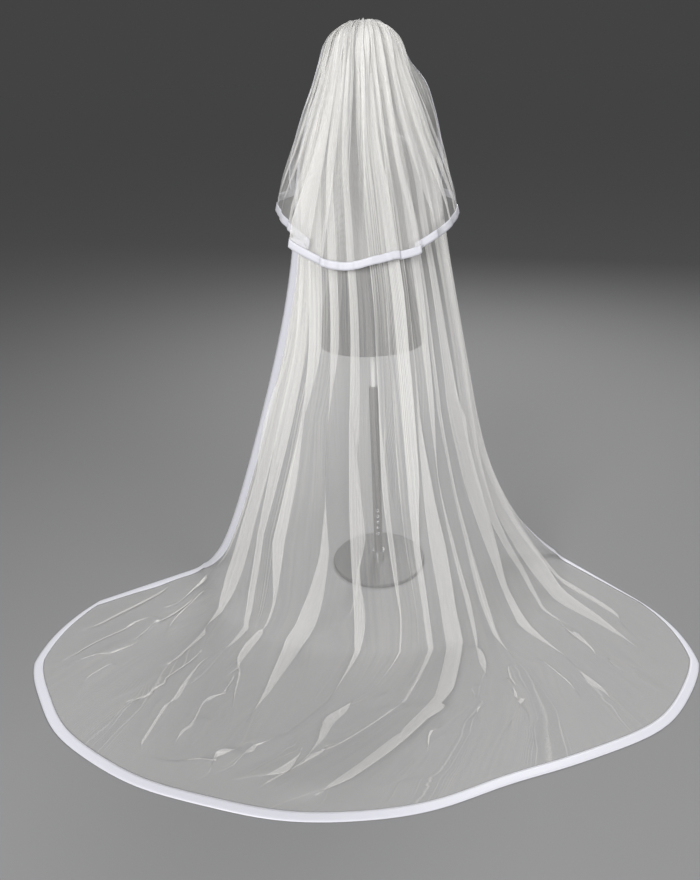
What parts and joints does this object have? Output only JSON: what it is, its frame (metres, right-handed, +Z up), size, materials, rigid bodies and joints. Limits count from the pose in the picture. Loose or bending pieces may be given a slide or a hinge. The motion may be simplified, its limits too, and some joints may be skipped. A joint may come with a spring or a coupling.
{
  "type": "bridal veil on a display form",
  "caption": "Tiered bridal veil of sheer white tulle with ribbon edges and a long train, gathered on a comb and hung on a plain dark display form with a pole stand.",
  "frame": {"origin": "centre of the stand's base, on the floor", "axes": "+Z up, +X to the right as seen from behind, the train spread on the floor towards -Y"},
  "size_m": [1.9561, 1.1869, 1.6801],
  "materials": {
    "tulle": "sheer",
    "ribbon": "satin",
    "comb": "gloss",
    "form": "matte",
    "pole": "satin",
    "chrome": "polished",
    "base": "satin"
  },
  "bodies": {
    "root": {"lower_tier": "tulle", "upper_tier": "tulle", "lower_ribbon": "ribbon", "upper_ribbon": "ribbon", "comb": "comb", "display_form": "form", "pole": "pole", "sleeve": "base", "collar": "chrome", "base": "base"}
  },
  "joints": []
}
